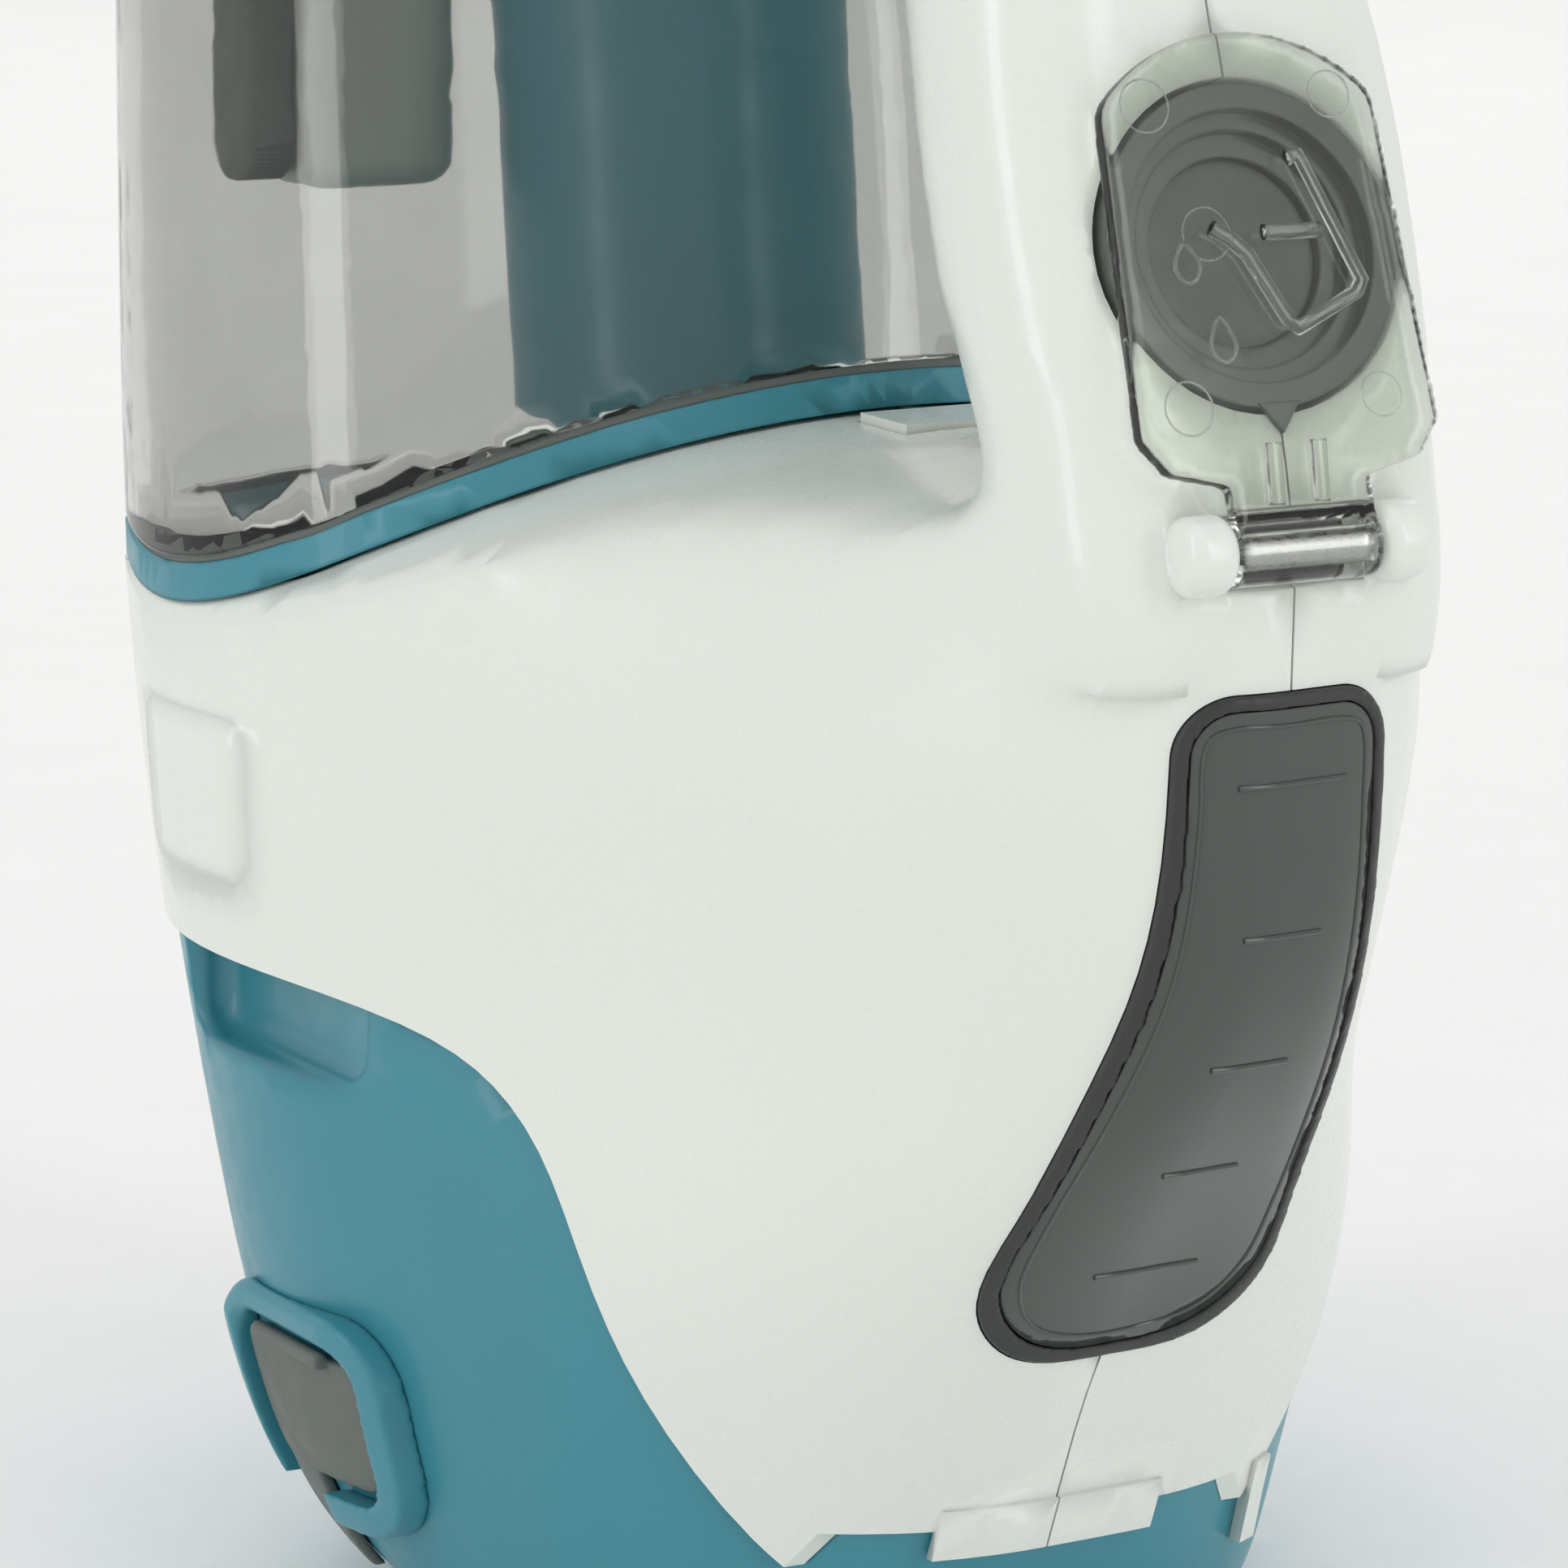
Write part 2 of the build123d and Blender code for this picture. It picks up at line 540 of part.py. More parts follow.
def water_loft(inset):
    """Clean-water tank shape, moved inwards by inset."""
    with BuildPart() as solid:
        for z, front, back, width, corner in WATER_LEVELS:
            with BuildSketch(Plane.XY.offset(z)):
                with Locations((0, (front + back) / 2)):
                    RectangleRounded(width - 2 * inset, back - front - 2 * inset, corner - inset)
        loft()
    return solid.part


water_inside = block((-60, 60), (0, 120), (WATER_LEVELS[0][0] + WATER_WALL, WATER_LEVELS[-1][0] - WATER_WALL))
water_tank = water_loft(0) - (water_loft(WATER_WALL) & water_inside)
water_tank = water_tank - block((-7 - RUN, 7 + RUN), (73.5 - RUN, 85.4 + RUN), (100, 110))
save(water_tank, "water_tank")

LENS_T = 2.0
level_window = (window_prism(0) & body_loft(-0.25)) - body_loft(LENS_T)
save(level_window, "level_window")

bezel = ((window_prism(1.5) - window_prism(0.1)) & body_loft(-0.6)) - body_loft(WALL)
save(bezel, "window_bezel")

neck_floor = PORT_PLANE.offset(-CUP_DEPTH)
neck_bore = rod(neck_floor.offset(1.8), NECK_R + 0.4, 30)
neck_cup = rod(neck_floor, CUP_R, CUP_DEPTH - CAP_WELL_DEPTH - 0.1) - neck_bore
filler_outer = prism_x(
    [(73.5, 100.6), (85.4, 100.6), (85.4, 116), (81.5, 131), (70.8, 127), (73.5, 116)], -7, 7)
filler_bore = prism_x(
    [(75.3, 95), (83.6, 95), (83.6, 116), (79.0, 134), (72.6, 131.6), (75.3, 116)], -5.2, 5.2)
filler_neck = neck_cup + (filler_outer - neck_bore)
filler_neck = filler_neck - filler_bore - cap_well_floor
filler_neck = filler_neck - rod(PORT_PLANE.offset(-CAP_WELL_DEPTH), CAP_WELL_R, 20)
save(filler_neck, "filler_neck")

CAP_PLUG_R = NECK_R - 0.3
# Steps of the dished cap: height, radius and depth of each.
CAP_STEPS = [(0.8, 12.3, 1.6), (-0.8, 10.7, 1.4), (-2.2, 8.6, 1.2)]
with BuildPart() as fill_cap:
    with BuildSketch(PORT_PLANE.offset(-CAP_WELL_DEPTH + 0.3)):
        Circle(CAP_R)
    extrude(amount=CAP_WELL_DEPTH + 0.5)
    with BuildSketch(PORT_PLANE.offset(-CAP_WELL_DEPTH - 3.0)):
        Circle(CAP_PLUG_R)
    extrude(amount=5)
    for top, ring_r, depth in CAP_STEPS:
        with BuildSketch(PORT_PLANE.offset(top)):
            Circle(ring_r)
        extrude(amount=-depth, mode=Mode.SUBTRACT)
save(fill_cap.part, "fill_cap")

# Clear flip cover: plate outline from its rounded top down to the neck, then the hinge barrel.
COVER_LOW = 1.3
COVER_T = 2.0
with BuildPart() as flip_cover:
    with BuildSketch(PORT_PLANE.offset(COVER_LOW)) as plate:
        with BuildLine():
            ThreePointArc((-13.9, 12.6), (0, 18.9), (13.9, 12.6))
            Polyline((13.9, 12.6), (15.2, -16.8), (12.8, -20.0), (7.1, -21.4), (7.1, HINGE_V + 1.5),
                     (-7.1, HINGE_V + 1.5), (-7.1, -21.4), (-12.8, -20.0), (-15.2, -16.8), (-13.9, 12.6))
        make_face()
        fillet(plate.vertices().sort_by(Axis.Y)[-2:], radius=3.5)
    extrude(amount=COVER_T)
    with BuildSketch(hinge_plane.offset(-BARREL_HALF)):
        Circle(BARREL_R)
    extrude(amount=2 * BARREL_HALF)
    with BuildSketch(hinge_plane.offset(-BARREL_HALF)):
        Circle(PIN_R + RUN)
    extrude(amount=2 * BARREL_HALF, mode=Mode.SUBTRACT)
save(flip_cover.part, "flip_cover")
save(rod(hinge_plane.offset(-BARREL_HALF - 4), PIN_R, 2 * BARREL_HALF + 8), "cover_pin")

# ---------------------------------------------------------------- handle: grip strip, trigger, buttons
strip_zone = prism_x([(64, 101), (76, 101), (74, 116), (62, 136), (54, 158), (47, 182), (42, 206), (34, 230),
                      (20, 246), (8, 232), (20, 206), (30, 180), (40, 156), (50, 136)], -12, 12)
grip_strip = (handle_loft(-0.9) - handle_outer) & strip_zone
trigger_gap = rounded_peg(
    handle_face(TRIGGER_AT, -1, 4), 2 * TRIGGER_HALF[0] + 1.6, 2 * TRIGGER_HALF[1] + 1.6, 20, 4.8)
grip_strip = grip_strip - trigger_gap - (body_outer - joint_cut)
save(grip_strip, "grip_strip")

trigger = rounded_peg(
    handle_face(TRIGGER_AT, -1, 8.5), 2 * TRIGGER_HALF[0], 2 * TRIGGER_HALF[1], 9.5, 4.0, 1.8)
save(trigger, "spray_trigger")
trigger_back = handle_face(TRIGGER_AT, -1, 8.3)
trigger_spring = rod(trigger_back.offset(-4.2), 3.0, 4.2, 2.2)
save(trigger_spring, "trigger_spring")
trigger_switch = rounded_peg(trigger_back.offset(-10.4), 12, 20, 6.0, 1)
save(trigger_switch, "trigger_switch")

power_button = rounded_peg(handle_face(BUTTON_AT, 1, 9.0), 13, 21, 6.6, 6.4, 1.2)
save(power_button, "power_button")
power_switch = rounded_peg(handle_face(BUTTON_AT, 1, 4.0), 8, 12, 3.2, 1)
save(power_switch, "power_switch")
light_at = handle_face(handle_plane(54.2, 207.0, 14.5), 1, 11)
status_light = rounded_peg(light_at, 5.2, 9.2, 3.1, 2.5)
save(status_light, "status_light")
catch = block((-7, 7), CATCH_Y, (112, 120.3))
save(catch, "tank_catch")
catch_spring = rod(Plane(origin=(0, 33, 107.4)), 2.6, 4.4, 1.8)
save(catch_spring, "catch_spring")

# ---------------------------------------------------------------- head: nozzle, lip, brush and its drive
head_shell = ((head_outer - mouth_cut) & nozzle_zone) - head_inner
nozzle = head_shell - head_outlet
save(nozzle, "nozzle")

lip_zone = mouth_cut - mouth_cut.moved(Location((0, 0, 2.2)))
nozzle_lip = (head_loft(-0.2) - head_loft(WALL + 0.4)) & lip_zone
save(nozzle_lip, "nozzle_lip")

DIVIDER = [(-74.3, 400), (-74.3, 312), (-68, 290), (-44, 268), (-44, 255.7), (-42, 255.7), (-42, 269),
           (-66, 292), (-72.3, 313), (-72.3, 400)]
divider = (prism_x(DIVIDER, -60, 60) & head_loft(WALL + 0.15, WALL + 0.1)) - mouth_cut
save(divider, "suction_divider")

brush_y, brush_z = BRUSH_POS
BRUSH_X = (-44.0, 36.0)


def cross_rod(y, z, x_low, length, radius, inner=0.0):
    """Cylinder or tube along +X."""
    return rod(Plane(origin=(x_low, y, z), x_dir=(0, 1, 0), z_dir=(1, 0, 0)), radius, length, inner)


AXLE_R = 2.0
brush_core = cross_rod(brush_y, brush_z, BRUSH_X[0], BRUSH_X[1] - BRUSH_X[0], 7.5)
TUFTS_LONG = 15
tuft_list = []
for row in range(4):
    for i in range(TUFTS_LONG):
        x = BRUSH_X[0] + 4.5 + i * (BRUSH_X[1] - BRUSH_X[0] - 9) / (TUFTS_LONG - 1)
        turn = radians(90 * row + 6 * (i if i <= 7 else 14 - i))
        out = (0, cos(turn), sin(turn))
        root = (x, brush_y + 7.0 * out[1], brush_z + 7.0 * out[2])
        tuft_list.append(rod(Plane(origin=root, x_dir=(1, 0, 0), z_dir=out), 1.5, BRUSH_R - 7.0))
tufts = (Part() + tuft_list) - brush_core
brush_core = brush_core + cross_rod(brush_y, brush_z, -48.6, 95.0, AXLE_R)
save(brush_core, "brush_core")
save(tufts, "brush_bristles")

bushings = cross_rod(brush_y, brush_z, -48.8, 4.0, 5, AXLE_R + RUN)
bushings = bushings + cross_rod(brush_y, brush_z, 37.0, 2.2, 5, AXLE_R + RUN)
save(bushings, "brush_bushings")
drive_wall = (prism_x([(-71.5, 300), (-40, 262), (-12, 262), (-12, 400), (-71.5, 400)], 37.6, 39.2)
              & head_loft(WALL + 0.15, WALL + 0.1)) - mouth_cut - mouth_cut.moved(Location((0, 0, -2)))
MOTOR_POS = (-40.0, 292.0)
drive_wall = drive_wall - cross_rod(brush_y, brush_z, 30, 20, 5) - cross_rod(*MOTOR_POS, 30, 20, 3.4)
drive_wall = drive_wall - cross_rod(*SCREWS[-1], 30, 20, BOSS_R + 0.3) - divider
save(drive_wall, "drive_wall")

PULLEY_X = 40.4
BRUSH_PULLEY_R = 7.0
MOTOR_PULLEY_R = 5.0
BELT_T = 1.1
brush_pulley = cross_rod(brush_y, brush_z, PULLEY_X, 5.0, BRUSH_PULLEY_R, AXLE_R)
brush_pulley = brush_pulley + cross_rod(brush_y, brush_z, PULLEY_X - 0.9, 0.9, BRUSH_PULLEY_R + 1.8, AXLE_R)
save(brush_pulley, "brush_pulley")
motor_pulley = cross_rod(*MOTOR_POS, PULLEY_X, 5.0, MOTOR_PULLEY_R, 1.5)
motor_pulley = motor_pulley + cross_rod(*MOTOR_POS, PULLEY_X - 0.9, 0.9, MOTOR_PULLEY_R + 1.8, 1.5)
motor_pulley = motor_pulley + cross_rod(*MOTOR_POS, 36.4, 9.0, 1.5)
save(motor_pulley, "motor_pulley")


def belt_band(grow):
    """Belt loop round both pulleys, grown outwards."""
    with BuildPart() as band:
        with BuildSketch(Plane.YZ.offset(PULLEY_X + 0.4)):
            with Locations(BRUSH_POS):
                Circle(BRUSH_PULLEY_R + grow)
            with Locations(MOTOR_POS):
                Circle(MOTOR_PULLEY_R + grow)
            make_hull()
        extrude(amount=4.2)
    return band.part


belt = belt_band(0.12 + BELT_T) - belt_band(0.12)
save(belt, "drive_belt")
brush_motor = cross_rod(*MOTOR_POS, -16, 52.0, 11.0)
brush_motor = brush_motor - cross_rod(*MOTOR_POS, 30, 10, 1.5 + RUN)
save(brush_motor, "brush_motor")

spray_at = Plane(origin=(-3, -40.2, 343.0), x_dir=(1, 0, 0), z_dir=(0, -0.3, 0.954))
spray_nozzle = rod(spray_at, 2.4, 7.0) + rod(spray_at.offset(7.0), 1.6, 2.4)
save(spray_nozzle - mouth_cut, "spray_nozzle")

# ---------------------------------------------------------------- body internals
suction_motor = rod(Plane(origin=(0, MOTOR_Y, 12)), 24, 48)
suction_motor = suction_motor + rod(Plane(origin=(0, MOTOR_Y, 60)), 10, 3)
suction_motor = suction_motor - rod(Plane(origin=(0, MOTOR_Y, 52)), 3 + RUN, 20)
save(suction_motor, "suction_motor")
blades = Part() + [block((6, 27), (-0.6, 0.6), (70, 76)).rotate(Axis.Z, 36 * i) for i in range(10)]
impeller = rod(Plane(origin=(0, 0, 68)), 28, 2.0) + rod(Plane(origin=(0, 0, 54)), 3.0, 16) + blades
impeller = impeller + rod(Plane(origin=(0, 0, 70)), 6.2, 7)
save(impeller.moved(Location((0, MOTOR_Y, 0))), "impeller")
scroll = rod(Plane(origin=(0, MOTOR_Y, 63.2)), 32, 16.6)
scroll = scroll - rod(Plane(origin=(0, MOTOR_Y, 65)), 30, 13) - rod(Plane(origin=(0, MOTOR_Y, 60)), 10.2, 30)
scroll = scroll + rod(Plane(origin=(0, MOTOR_Y, 79.8)), 14.5, 17.0, 12.6)
scroll = scroll - rod(Plane(origin=(0, MOTOR_Y, 70)), 12.6, 20)
save(scroll, "fan_scroll")
motor_seal = rod(Plane(origin=(0, DUCT_FOOT[1], 97.0)), 13.9, 3.0, 12.6)
save(motor_seal & body_outer - joint_cut, "motor_seal")

CELL_R = 9.2
CELL_X = (-19.4, 0, 19.4)
cells = Part() + [rod(Plane(origin=(x, 28.4, 13)), CELL_R, 65) for x in CELL_X]
save(cells, "battery_cells")
holder = block((-30, 30), (18.6, 38.2), (9.2, 13)) + block((-30, 30), (18.6, 38.2), (78, 81.5))
inside = body_loft(WALL + 0.5)
save(holder & inside, "cell_holder")
board = block((-31, 31), (12.5, 14.1), (16, 62))
save(board & inside, "circuit_board")
pump = block((-43, -29), (-8, 10), (16, 34)) + rod(Plane(origin=(-36, 1, 34)), 6.5, 12)
save(pump, "water_pump")

# Hose from the pump up through the handle to the spray nozzle in the head.
HOSE_R = 2.0
HOSE_ROUTE = [
    (-36, 1, 46.2), (-36, 3, 72), (-33, 22, 100), (-21, 52, 106), (-17, 68, 107.5), (-14.6, 81, 114),
    (-16, 71.6, 138.5), (-15.2, 66, 156), (-11, 58.5, 172), (-9.5, 54.5, 190), (-9.5, 49.5, 215),
    (-11, 40, 240), (-13, 20, 262), (-14, -8, 269), (-13, -21, 285), (-11, -28.4, 306), (-9.5, -30.6, 318),
    (-5.5, -37.5, 331), (-3.1, -40.0, 342.2)]
runs = [Vector(*b) - Vector(*a) for a, b in zip(HOSE_ROUTE, HOSE_ROUTE[1:])]
hose_radii = []
for before, after in zip(runs, runs[1:]):
    half_turn = radians(before.get_angle(after)) / 2
    hose_radii.append(0.45 * min(before.length, after.length) / tan(half_turn))
with BuildPart() as hose:
    with BuildLine() as route:
        FilletPolyline(*HOSE_ROUTE, radius=hose_radii)
    with BuildSketch(Plane(origin=HOSE_ROUTE[0], z_dir=runs[0])):
        Circle(HOSE_R)
    sweep(path=route.line)
save(hose.part, "water_hose")
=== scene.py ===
import json
import math
import random

import bmesh
import bpy
from mathutils import Matrix, Vector
from mathutils.bvhtree import BVHTree

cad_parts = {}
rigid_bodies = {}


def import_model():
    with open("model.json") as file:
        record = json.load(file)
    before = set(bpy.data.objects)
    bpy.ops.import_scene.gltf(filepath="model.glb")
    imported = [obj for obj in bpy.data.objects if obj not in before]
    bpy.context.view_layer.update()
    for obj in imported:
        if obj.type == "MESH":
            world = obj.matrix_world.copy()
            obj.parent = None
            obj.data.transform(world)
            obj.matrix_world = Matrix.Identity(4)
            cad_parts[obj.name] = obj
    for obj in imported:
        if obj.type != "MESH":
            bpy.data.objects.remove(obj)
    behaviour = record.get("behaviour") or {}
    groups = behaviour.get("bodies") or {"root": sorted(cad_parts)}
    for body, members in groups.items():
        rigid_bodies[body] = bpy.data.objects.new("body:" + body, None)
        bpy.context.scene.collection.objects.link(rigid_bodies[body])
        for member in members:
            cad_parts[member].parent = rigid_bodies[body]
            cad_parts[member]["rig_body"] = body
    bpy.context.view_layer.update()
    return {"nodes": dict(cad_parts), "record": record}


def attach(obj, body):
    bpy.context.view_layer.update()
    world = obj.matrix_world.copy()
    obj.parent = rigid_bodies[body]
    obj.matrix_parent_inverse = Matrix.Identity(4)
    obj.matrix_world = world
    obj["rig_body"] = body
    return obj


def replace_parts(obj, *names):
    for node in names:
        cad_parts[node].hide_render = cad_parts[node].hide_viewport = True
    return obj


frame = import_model()

# The looks of a cordless wet handheld vacuum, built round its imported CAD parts.
# Metres. +Z is up, -Y is the front (tank side) and +X is the side with the charging port.
MM = 0.001
random.seed(7)
scene = bpy.context.scene
nodes = frame["nodes"]
record = frame["record"]


# ---------------------------------------------------------------- materials
def srgb(red, green, blue):
    """Linear colour of an 8-bit display colour."""
    def linear(value):
        share = value / 255
        return share / 12.92 if share <= 0.04045 else ((share + 0.055) / 1.055) ** 2.4
    return (linear(red), linear(green), linear(blue), 1.0)


def scaled(colour, factor):
    """Colour made darker or lighter, with its alpha kept."""
    return tuple(min(1.0, c * factor) for c in colour[:3]) + (1.0,)


class Nodes:
    """Short ways to build one material's node tree in object space."""

    def __init__(self, name):
        self.material = bpy.data.materials.new(name)
        self.material.use_nodes = True
        self.tree = self.material.node_tree
        self.shader = self.tree.nodes["Principled BSDF"]
        self.output = self.tree.nodes["Material Output"]
        self.place = self.tree.nodes.new("ShaderNodeTexCoord").outputs["Object"]

    def link(self, source, target):
        self.tree.links.new(source, target)

    def noise(self, per_mm, detail=3.0, stretch=(1, 1, 1)):
        """Noise value whose grain is about 1 / per_mm millimetres across, stretched along an axis."""
        mapping = self.tree.nodes.new("ShaderNodeMapping")
        mapping.inputs["Scale"].default_value = stretch
        self.link(self.place, mapping.inputs["Vector"])
        noise = self.tree.nodes.new("ShaderNodeTexNoise")
        noise.inputs["Scale"].default_value = per_mm / MM
        noise.inputs["Detail"].default_value = detail
        self.link(mapping.outputs["Vector"], noise.inputs["Vector"])
        return noise.outputs["Fac"]

    def spread(self, value, low, high):
        """Value stretched from the middle of its range to between low and high."""
        ranged = self.tree.nodes.new("ShaderNodeMapRange")
        ranged.inputs["From Min"].default_value = 0.3
        ranged.inputs["From Max"].default_value = 0.7
        ranged.inputs["To Min"].default_value = low
        ranged.inputs["To Max"].default_value = high
        self.link(value, ranged.inputs["Value"])
        return ranged.outputs["Result"]

    def between(self, value, first, second):
        """Colour between two, chosen by value."""
        ramp = self.tree.nodes.new("ShaderNodeValToRGB")
        ramp.color_ramp.elements[0].position = 0.3
        ramp.color_ramp.elements[0].color = first
        ramp.color_ramp.elements[1].position = 0.7
        ramp.color_ramp.elements[1].color = second
        self.link(value, ramp.inputs["Fac"])
        return ramp.outputs["Color"]

    def bump(self, value, height_mm, round_mm=0.0):
        """Fine relief, and edges rounded by round_mm where they catch the light."""
        relief = self.tree.nodes.new("ShaderNodeBump")
        relief.inputs["Distance"].default_value = height_mm * MM
        self.link(value, relief.inputs["Height"])
        if round_mm:
            bevel = self.tree.nodes.new("ShaderNodeBevel")
            bevel.samples = 4
            bevel.inputs["Radius"].default_value = round_mm * MM
            self.link(bevel.outputs["Normal"], relief.inputs["Normal"])
        self.link(relief.outputs["Normal"], self.shader.inputs["Normal"])

    def set(self, **values):
        for socket, value in values.items():
            self.shader.inputs[socket.replace("_", " ")].default_value = value


def moulded(name, colour, rough, gloss_coat=0.0, texture=0.02, per_mm=2.0, round_mm=0.5, contrast=0.06):
    """Moulded plastic or rubber: faint colour drift, uneven gloss, fine surface texture."""
    made = Nodes(name)
    drift = made.noise(0.03, 2.0)
    colours = made.between(drift, scaled(colour, 1 - contrast), scaled(colour, 1 + contrast))
    made.link(colours, made.shader.inputs["Base Color"])
    haze = made.noise(0.25, 4.0)
    made.link(made.spread(haze, rough * 0.85, rough * 1.2), made.shader.inputs["Roughness"])
    made.bump(made.noise(per_mm, 2.0), texture, round_mm)
    made.set(Coat_Weight=gloss_coat, Coat_Roughness=0.08, IOR=1.49)
    return made.material


def metal(name, colour, rough, stretch=(1, 1, 8)):
    """Plated or brushed steel with fine streaks."""
    made = Nodes(name)
    streak = made.noise(1.2, 4.0, stretch)
    colours = made.between(streak, scaled(colour, 0.8), scaled(colour, 1.1))
    made.link(colours, made.shader.inputs["Base Color"])
    made.link(made.spread(streak, rough * 0.7, rough * 1.4), made.shader.inputs["Roughness"])
    made.bump(streak, 0.01)
    made.set(Metallic=1.0)
    return made.material


def clear(name, tint, shadow, rough=0.02, haze=0.03, round_mm=0.4):
    """Clear moulded plastic with moulding haze, which lets the lamps light what is behind it."""
    made = Nodes(name)
    cloud = made.noise(0.05, 3.0)
    made.link(made.between(cloud, scaled(tint, 0.97), scaled(tint, 1.03)), made.shader.inputs["Base Color"])
    made.link(made.spread(made.noise(0.4, 3.0), rough, rough + haze), made.shader.inputs["Roughness"])
    made.bump(made.noise(0.12, 2.0), 0.01, round_mm)
    made.set(Transmission_Weight=1.0, IOR=1.45)
    through = made.tree.nodes.new("ShaderNodeBsdfTransparent")
    through.inputs["Color"].default_value = shadow
    path = made.tree.nodes.new("ShaderNodeLightPath")
    mix = made.tree.nodes.new("ShaderNodeMixShader")
    made.link(path.outputs["Is Shadow Ray"], mix.inputs["Fac"])
    made.link(made.shader.outputs["BSDF"], mix.inputs[1])
    made.link(through.outputs["BSDF"], mix.inputs[2])
    made.link(mix.outputs["Shader"], made.output.inputs["Surface"])
    return made.material


SLOTS = {
    "white_shell": moulded("glossy_white", srgb(226, 231, 224), 0.28, 0.3, 0.0004, 1.2, 0.0, 0.006),
    "teal_shell": moulded("satin_teal", srgb(58, 136, 152), 0.36, 0.12, 0.012, 3.0, 0.5, 0.035),
    "smoked_clear": clear("smoked_clear", srgb(212, 213, 210), srgb(216, 216, 214)),
    "cover_clear": clear("pale_clear", srgb(238, 241, 236), srgb(232, 235, 230)),
    "cap_smoked": moulded("smoked_cap", srgb(74, 78, 73), 0.2, 0.5, 0.005, 1.5, 0.5, 0.05),
    "tank_smoked": moulded("window_smoke", srgb(64, 69, 65), 0.12, 0.5, 0.001, 0.6, 0.3, 0.08),
    "black_rubber": moulded("black_rubber", srgb(44, 46, 45), 0.42, 0.1, 0.03, 3.0, 0.4, 0.1),
    "grey_rubber": moulded("grey_rubber", srgb(102, 108, 103), 0.62, 0.0, 0.03, 4.0, 0.3, 0.05),
    "pale_plastic": moulded("pale_plastic", srgb(196, 202, 190), 0.4, 0.05, 0.02, 2.0, 0.4, 0.04),
    "dark_plastic": moulded("dark_plastic", srgb(52, 54, 56), 0.45, 0.0, 0.03, 3.0, 0.4, 0.08),
    "steel": metal("plated_steel", srgb(190, 190, 188), 0.3),
    "bristle": moulded("nylon", srgb(60, 120, 135), 0.45, 0.0, 0.004, 2.0, 0.0, 0.15),
    "cell_wrap": moulded("cell_wrap", srgb(70, 120, 160), 0.3, 0.2, 0.01, 1.0, 0.3, 0.04),
    "pcb": moulded("circuit_board", srgb(34, 96, 62), 0.35, 0.3, 0.02, 0.8, 0.2, 0.12),
    "light": moulded("light_pipe", srgb(196, 226, 205), 0.3, 0.4, 0.01, 1.0, 0.3, 0.03),
}
node_slot = {row["node"]: row["material_slot"] for row in record["subparts"]}
for name, node in nodes.items():
    node.data.materials.clear()
    node.data.materials.append(SLOTS[node_slot[name]])
    node.data.shade_smooth()


# ---------------------------------------------------------------- mesh helpers
def added(name, mesh, material_slot, body):
    """New piece in the scene with its material, riding on a CAD body."""
    piece = bpy.data.objects.new(name, mesh)
    scene.collection.objects.link(piece)
    piece.data.materials.clear()
    piece.data.materials.append(SLOTS[material_slot])
    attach(piece, body)
    return piece


def body_of(node):
    """Name of the CAD body that a node belongs to."""
    return nodes[node]["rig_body"]


def welded(node, angle=35):
    """Copy of a CAD node's mesh with its seams joined, shaded smooth except at sharp edges."""
    work = bmesh.new()
    work.from_mesh(nodes[node].data)
    bmesh.ops.remove_doubles(work, verts=work.verts, dist=0.002 * MM)
    bmesh.ops.dissolve_degenerate(work, edges=work.edges, dist=0.001 * MM)
    mesh = bpy.data.meshes.new(node + "_fine")
    work.to_mesh(mesh)
    work.free()
    mesh.shade_smooth()
    mesh.set_sharp_from_angle(angle=math.radians(angle))
    return mesh


def applied(piece):
    """Replaces a piece's mesh by what its modifiers make of it."""
    evaluated = piece.evaluated_get(bpy.context.evaluated_depsgraph_get())
    mesh = bpy.data.meshes.new_from_object(evaluated)
    piece.modifiers.clear()
    piece.data = mesh


def refined(node, angle=35):
    """Stands for a CAD node with the same shape and even shading."""
    piece = added(node + "_skin", welded(node, angle), node_slot[node], body_of(node))
    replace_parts(piece, node)
    return piece


def softened(node, voxel=0.35, passes=4, strength=0.5):
    """Stands for a CAD node with its edges rounded off, as a moulding's are."""
    piece = added(node + "_soft", welded(node), node_slot[node], body_of(node))
    remesh = piece.modifiers.new("remesh", "REMESH")
    remesh.mode = "VOXEL"
    remesh.voxel_size = voxel * MM
    smooth = piece.modifiers.new("smooth", "SMOOTH")
    smooth.iterations = passes
    smooth.factor = strength
    applied(piece)
    piece.data.shade_smooth()
    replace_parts(piece, node)
    return piece


SHOULDER = Vector((32, 62, 116))          # middle of each shoulder, where the body runs into the handle
SHOULDER_REACH = Vector((27, 42, 24))
SHOULDER_INNER = (13.5, 18.0)             # the filler, window and catch lie nearer the middle and stay sharp
SHOULDER_FADE = 3                         # full strength within two thirds of the reach
SPLIT_ROUNDS = 7
FINE_EDGE = 1.7 * MM


def clamped(value):
    """Value kept between 0 and 1."""
    return max(0.0, min(1.0, value))


def shoulder_share(place):
    """How far a point, in metres, takes part in the shoulder's blend: 0 to 1."""
    away = Vector((abs(place.x), place.y, place.z)) / MM - SHOULDER
    depth = 1 - Vector((a / b for a, b in zip(away, SHOULDER_REACH))).length
    inner = (abs(place.x) / MM - SHOULDER_INNER[0]) / (SHOULDER_INNER[1] - SHOULDER_INNER[0])
    return clamped(depth * SHOULDER_FADE) * clamped(inner)


